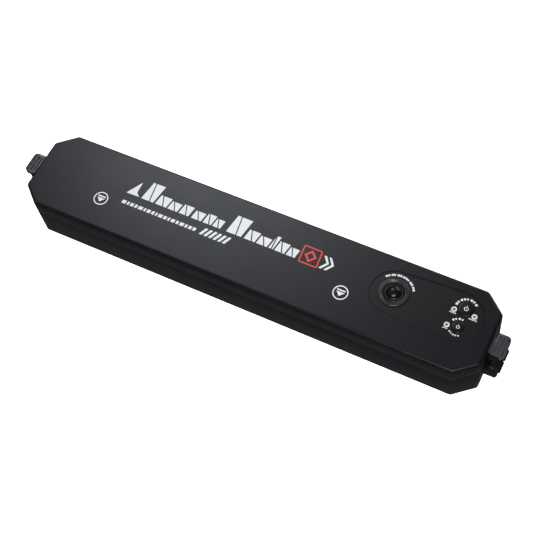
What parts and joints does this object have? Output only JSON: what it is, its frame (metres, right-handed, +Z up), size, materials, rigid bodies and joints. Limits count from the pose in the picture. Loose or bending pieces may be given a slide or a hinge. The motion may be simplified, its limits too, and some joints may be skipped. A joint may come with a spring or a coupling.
{
  "type": "vacuum sealer",
  "caption": "Long low household vacuum sealer for food bags, with a hinged lid, side latches, a heated sealing edge, a vacuum trough and a pump in the base.",
  "frame": {"origin": "middle of the footprint, on the surface that the feet stand on", "axes": "+X along the length, towards the control panel; +Y from the front wall to the hinge; +Z up"},
  "size_m": [0.3646, 0.0624, 0.0424],
  "materials": {
    "body_shell": "fine satin moulded texture",
    "control_panel": "smooth, half gloss",
    "valve_bezel": "satin",
    "valve_rubber": "smooth, soft sheen",
    "valve_plastic": "moulded",
    "seal_rubber": "moulded",
    "key_plastic": "half gloss, with a printed mark",
    "switch_body": "moulded",
    "lens": "frosted",
    "led": "clear",
    "circuit_board": "solder resist",
    "screw_steel": "zinc plated",
    "foam": "closed-cell foam",
    "press_silicone": "silicone",
    "cable": "sleeved",
    "red_wire": "insulated",
    "inner_plastic": "moulded",
    "holder": "moulded",
    "heater_metal": "rolled",
    "heater_tape": "coated glass cloth",
    "brass": "pressed",
    "latch_plastic": "ribbed, satin",
    "pump_steel": "drawn can",
    "pump_plastic": "moulded",
    "hose": "silicone",
    "transformer": "wound and taped",
    "capacitor": "sleeved",
    "relay": "moulded",
    "foot_rubber": "matt"
  },
  "bodies": {
    "base": {"base_shell": "body_shell", "chamber_deck": "inner_plastic", "lower_gasket": "foam", "heater_holder": "holder", "heating_strip": "heater_metal", "heater_tape": "heater_tape", "strip_terminals": "brass", "heater_leads": "red_wire", "hinge_pins": "screw_steel", "latch_pins": "screw_steel", "latch_springs": "screw_steel", "pump_motor": "pump_steel", "pump_housing": "pump_plastic", "pump_diaphragm": "seal_rubber", "pump_head": "pump_plastic", "pump_screws": "screw_steel", "pump_pads": "foot_rubber", "air_hose": "hose", "power_board": "circuit_board", "board_transformer": "transformer", "board_capacitors": "capacitor", "board_relay": "relay", "power_board_screws": "screw_steel", "power_inlet": "inner_plastic", "inlet_pins": "screw_steel", "mains_leads": "cable", "base_screws": "screw_steel", "rubber_feet": "foot_rubber", "lid_cable_lower": "cable"},
    "lid": {"top_cover": "body_shell", "lid_frame": "body_shell", "control_overlay": "control_panel", "valve_bezel": "valve_bezel", "valve_spring": "screw_steel", "indicator_lenses": "lens", "indicator_leds": "led", "key_switches": "switch_body", "control_board": "circuit_board", "control_board_screws": "screw_steel", "lid_screws": "screw_steel", "lid_catches": "screw_steel", "upper_gasket": "foam", "press_strip": "press_silicone", "lid_cable_upper": "cable"},
    "valve": {"release_valve_button": "valve_rubber", "valve_stem": "valve_plastic", "valve_seal": "seal_rubber"},
    "vacuum_key": {"vacuum_seal_key": "key_plastic", "vacuum_key_plunger": "inner_plastic"},
    "seal_key": {"seal_only_key": "key_plastic", "seal_key_plunger": "inner_plastic"},
    "left_lever": {"left_latch": "latch_plastic"},
    "right_lever": {"right_latch": "latch_plastic"},
    "pump_rotor": {"motor_shaft": "screw_steel", "crank": "pump_plastic"}
  },
  "joints": [
    {"name": "lid_hinge", "type": "hinge", "parent": "base", "child": "lid", "pos_m": [0, 0.02785, 0.0265], "axis": [-1, 0, 0], "range_deg": [0, 95]},
    {"name": "right_latch", "type": "hinge", "parent": "base", "child": "right_lever", "pos_m": [0.176, 0, 0.016], "axis": [0, 1, 0], "range_deg": [-5, 12], "stiffness_Nm_per_rad": 0.03},
    {"name": "left_latch", "type": "hinge", "parent": "base", "child": "left_lever", "pos_m": [-0.176, 0, 0.016], "axis": [0, -1, 0], "range_deg": [-5, 12], "stiffness_Nm_per_rad": 0.03},
    {"name": "release_valve", "type": "slide", "parent": "lid", "child": "valve", "axis": [0, 0, -1], "range_m": [0, 0.0022], "stiffness_N_per_m": 400, "deforming": ["valve_spring"]},
    {"name": "vacuum_key_press", "type": "slide", "parent": "lid", "child": "vacuum_key", "axis": [0, 0, -1], "range_m": [0, 0.0006], "stiffness_N_per_m": 300},
    {"name": "seal_key_press", "type": "slide", "parent": "lid", "child": "seal_key", "axis": [0, 0, -1], "range_m": [0, 0.0006], "stiffness_N_per_m": 300},
    {"name": "pump_spin", "type": "hinge", "parent": "base", "child": "pump_rotor", "pos_m": [0.06, 0.016, 0.0126], "axis": [1, 0, 0], "continuous": true}
  ]
}
